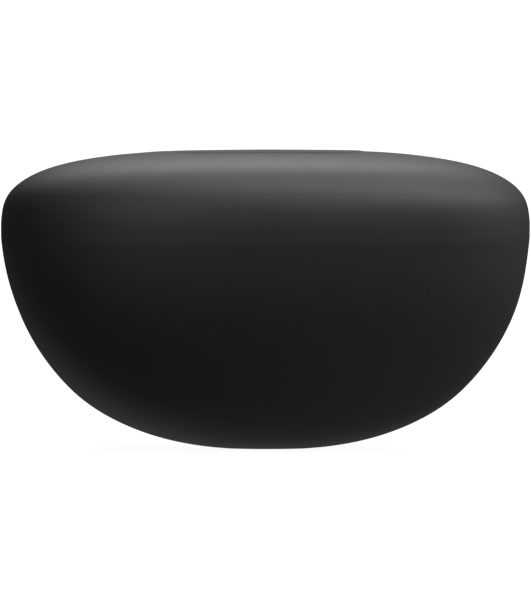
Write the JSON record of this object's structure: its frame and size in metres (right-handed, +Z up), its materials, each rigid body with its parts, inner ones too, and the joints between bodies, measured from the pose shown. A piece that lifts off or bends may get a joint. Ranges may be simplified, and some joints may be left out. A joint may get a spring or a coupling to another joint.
{
  "type": "massage stone",
  "caption": "Smooth black basalt massage stone: an oval pebble with a full rounded belly, soft shoulders and a nearly flat crown, one solid honed piece.",
  "frame": {"origin": "middle of the small flat on the underside that the stone stands on", "axes": "+X along the stone's width, its longest way; +Y along its depth, away from the viewer; +Z up, out of the flat crown"},
  "size_m": [0.08, 0.06, 0.045],
  "materials": {
    "honed_basalt": "satin"
  },
  "bodies": {
    "root": {"basalt_stone": "honed_basalt"}
  },
  "joints": []
}
